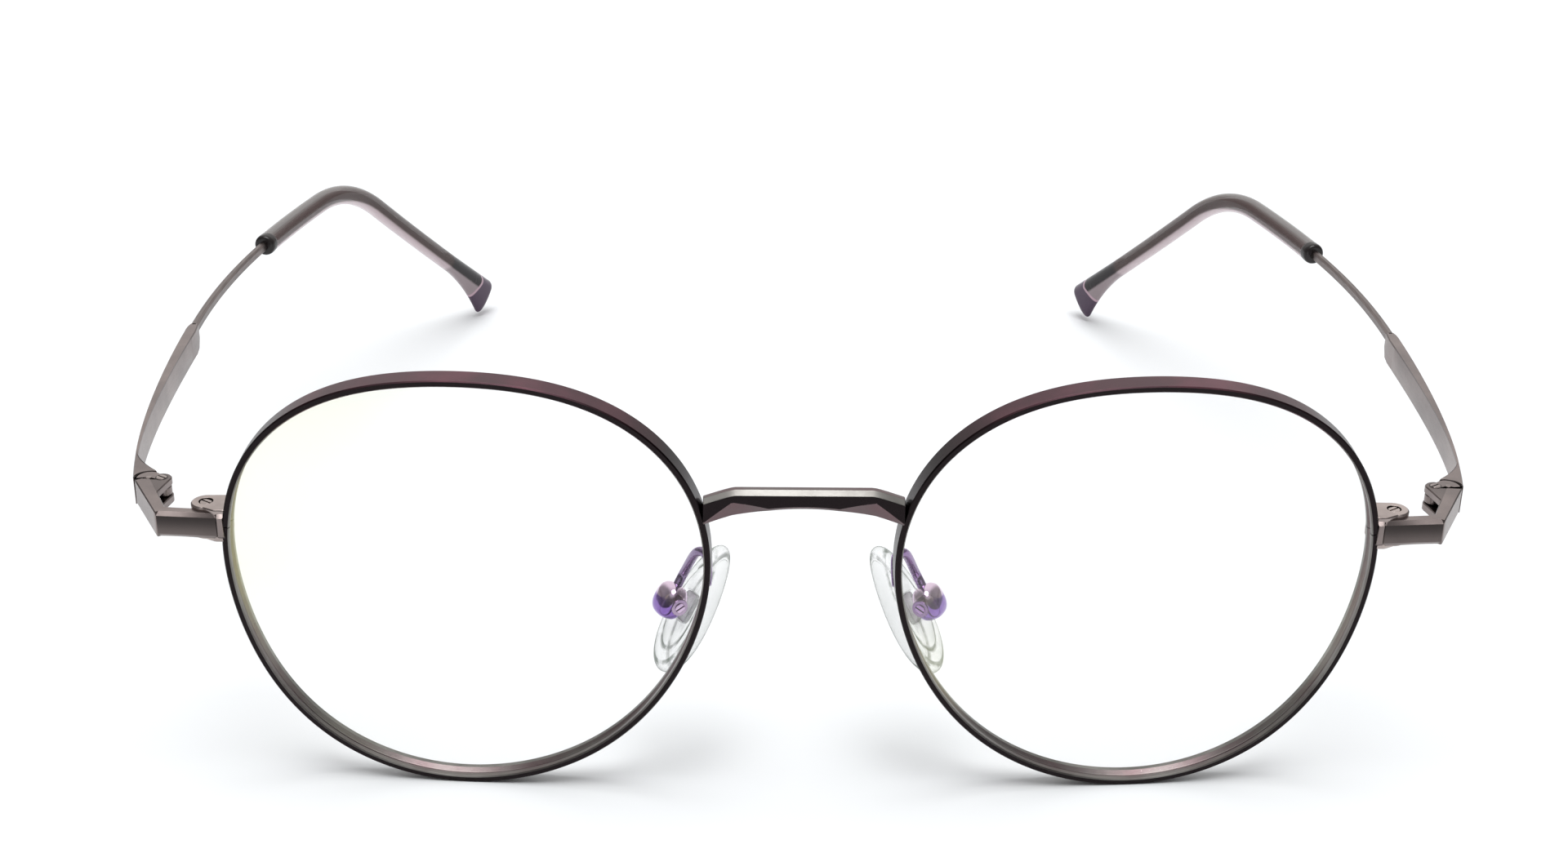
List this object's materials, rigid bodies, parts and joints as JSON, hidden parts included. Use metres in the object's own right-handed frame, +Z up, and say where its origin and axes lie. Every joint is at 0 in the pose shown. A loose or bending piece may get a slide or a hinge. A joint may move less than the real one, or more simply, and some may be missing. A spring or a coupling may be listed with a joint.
{
  "type": "eyeglasses",
  "caption": "Round thin-wire eyeglasses with a flat-topped bridge, adjustable nose pads, folding temples and clear bent ear tips.",
  "frame": {"origin": "middle of the bounding box's base, on the table the glasses stand on, with the temples open", "axes": "+X to the wearer's left, +Y back along the temples, +Z up; the lenses face -Y"},
  "size_m": [0.1464, 0.1446, 0.049],
  "materials": {
    "front_wire": "satin dark brown-violet plating",
    "gunmetal": "satin rose-taupe gunmetal plating",
    "screw": "bright turned metal",
    "violet_metal": "glossy violet anodised metal",
    "lens": "clear polished lens",
    "silicone": "clear silicone",
    "sleeve": "clear pink-grey plastic",
    "black_ring": "gloss black"
  },
  "bodies": {
    "front": {"bridge": "front_wire", "rim_left": "front_wire", "lens_left": "lens", "end_piece_left": "gunmetal", "hinge_stud_left": "screw", "rim_lock_top_left": "gunmetal", "rim_lock_bottom_left": "gunmetal", "rim_screw_left": "screw", "hinge_screw_left": "screw", "pad_box_left": "violet_metal", "pad_screw_left": "screw", "pad_arm_left": "violet_metal", "rim_right": "front_wire", "lens_right": "lens", "end_piece_right": "gunmetal", "hinge_stud_right": "screw", "rim_lock_top_right": "gunmetal", "rim_lock_bottom_right": "gunmetal", "rim_screw_right": "screw", "hinge_screw_right": "screw", "pad_box_right": "violet_metal", "pad_screw_right": "screw", "pad_arm_right": "violet_metal"},
    "temple_left": {"temple_bar_left": "gunmetal", "temple_wire_left": "gunmetal", "tip_ring_left": "black_ring", "tip_sleeve_left": "sleeve"},
    "temple_right": {"temple_bar_right": "gunmetal", "temple_wire_right": "gunmetal", "tip_ring_right": "black_ring", "tip_sleeve_right": "sleeve"},
    "pad_left": {"nose_pad_left": "silicone", "pad_insert_left": "silicone"},
    "pad_right": {"nose_pad_right": "silicone", "pad_insert_right": "silicone"}
  },
  "joints": [
    {"name": "temple_hinge_left", "type": "hinge", "parent": "front", "child": "temple_left", "pos_m": [0.0661, -0.05962, 0.03121], "axis": [0, 0, 1], "range_deg": [0, 85]},
    {"name": "temple_hinge_right", "type": "hinge", "parent": "front", "child": "temple_right", "pos_m": [-0.0661, -0.05962, 0.03121], "axis": [0, 0, -1], "range_deg": [0, 80]},
    {"name": "pad_rock_left", "type": "hinge", "parent": "front", "child": "pad_left", "pos_m": [0.01325, -0.06232, 0.01975], "axis": [0.5445, 0.8385, 0.0192], "range_deg": [-8, 8]},
    {"name": "pad_rock_right", "type": "hinge", "parent": "front", "child": "pad_right", "pos_m": [-0.01325, -0.06232, 0.01975], "axis": [-0.5445, 0.8385, 0.0192], "range_deg": [-8, 8]}
  ]
}
